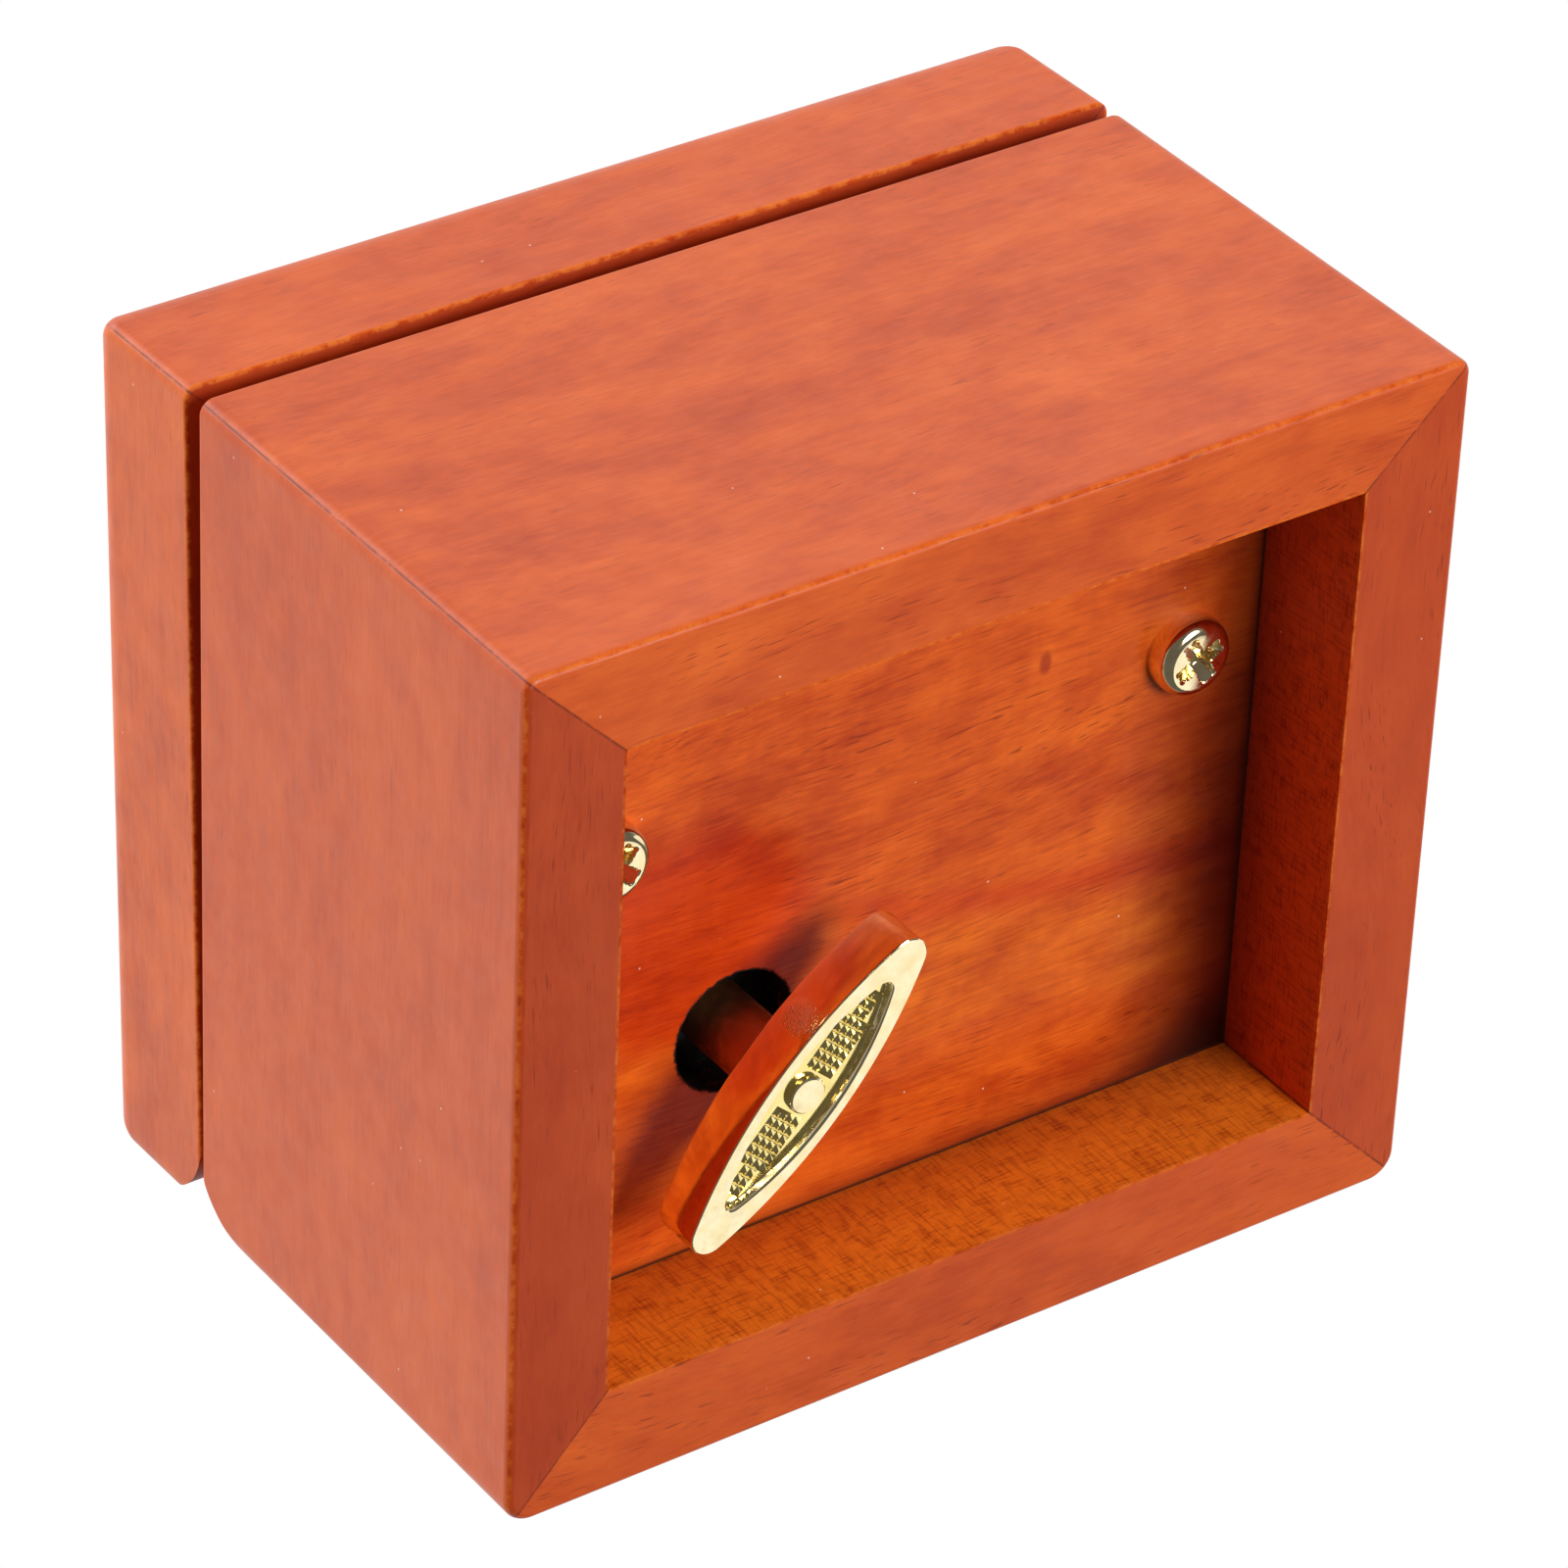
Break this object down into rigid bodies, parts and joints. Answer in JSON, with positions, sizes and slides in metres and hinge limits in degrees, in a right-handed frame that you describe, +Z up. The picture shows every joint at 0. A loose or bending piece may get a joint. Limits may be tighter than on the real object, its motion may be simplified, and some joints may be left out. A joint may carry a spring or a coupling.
{
  "type": "music box",
  "caption": "Small mitred wooden wind-up music box with a hinged lid, a recessed key under the base and a comb-and-cylinder movement inside.",
  "frame": {"origin": "middle of the case's rim, on the surface that the box stands on", "axes": "+X along the length of the box, +Z up through the lid, -Y towards the front; the lid is hinged at +Y"},
  "size_m": [0.064, 0.0576, 0.0455],
  "materials": {
    "cherry_wood": "satin lacquer over red-orange stain",
    "lid_wood": "satin lacquer over red-orange stain",
    "panel_wood": "satin lacquer over red-orange stain",
    "gold_plate": "polished pale gold plating",
    "brass": "satin",
    "black_enamel": "black enamel over cast zinc",
    "nickel_steel": "nickel plated",
    "bright_steel": "ground steel",
    "nylon": "moulded",
    "felt": "felt"
  },
  "bodies": {
    "case": {"front_board": "cherry_wood", "back_board": "cherry_wood", "left_board": "cherry_wood", "right_board": "cherry_wood", "movement_panel": "panel_wood", "movement_screws": "gold_plate", "bedplate": "black_enamel", "cylinder_bearing": "brass", "governor_plate": "brass", "governor_cheek": "brass", "comb": "bright_steel", "comb_screws": "nickel_steel", "barrel_bridge": "nickel_steel", "bridge_screws": "nickel_steel", "hinge_body_leaves": "brass", "hinge_pins": "brass", "hinge_body_brads": "brass", "stop_guide": "nickel_steel", "stop_spring": "bright_steel"},
    "lid": {"lid_front_rail": "lid_wood", "lid_back_rail": "lid_wood", "lid_left_rail": "lid_wood", "lid_right_rail": "lid_wood", "lid_panel": "lid_wood", "hinge_lid_leaves": "brass", "hinge_lid_brads": "brass"},
    "key": {"winding_key": "gold_plate", "winding_arbor": "bright_steel", "arbor_clip": "bright_steel"},
    "barrel": {"spring_barrel": "brass", "barrel_cap": "brass", "mainspring": "bright_steel"},
    "cylinder": {"melody_cylinder": "brass", "cylinder_pins": "bright_steel", "cylinder_shaft": "bright_steel", "drive_pinion": "brass", "cylinder_wheel": "brass"},
    "idler": {"idler_arbor": "bright_steel", "idler_pinion": "brass", "worm_wheel": "nylon"},
    "brake": {"worm": "bright_steel", "air_fan": "nylon"},
    "stop": {"stop_rod": "bright_steel", "brake_pad": "felt"}
  },
  "joints": [
    {"name": "lid_hinge", "type": "hinge", "parent": "case", "child": "lid", "pos_m": [0, 0.0252, 0.03355], "axis": [-1, 0, 0], "range_deg": [0, 85]},
    {"name": "key_turn", "type": "hinge", "parent": "case", "child": "key", "pos_m": [-0.01155, 0.00675, 0.0125], "axis": [0, 0, 1], "continuous": true},
    {"name": "barrel_spin", "type": "hinge", "parent": "case", "child": "barrel", "pos_m": [-0.01155, 0.00675, 0.0143], "axis": [0, 0, 1], "continuous": true},
    {"name": "cylinder_spin", "type": "hinge", "parent": "case", "child": "cylinder", "pos_m": [0.009, 0.00675, 0.0213], "axis": [1, 0, 0], "continuous": true},
    {"name": "idler_spin", "type": "hinge", "parent": "case", "child": "idler", "pos_m": [0.019, 0.01474, 0.02421], "axis": [1, 0, 0], "continuous": true},
    {"name": "brake_spin", "type": "hinge", "parent": "case", "child": "brake", "pos_m": [0.0216, 0.00894, 0.014], "axis": [0, 0, 1], "continuous": true},
    {"name": "stop_slide", "type": "slide", "parent": "case", "child": "stop", "axis": [0, 0, 1], "range_m": [-0.0012, 0], "stiffness_N_per_m": 80, "deforming": ["stop_spring"]}
  ],
  "couplings": [
    {"joint": "cylinder_spin", "follows": "barrel_spin", "ratio": 2},
    {"joint": "idler_spin", "follows": "barrel_spin", "ratio": -6.5},
    {"joint": "brake_spin", "follows": "barrel_spin", "ratio": -117}
  ]
}
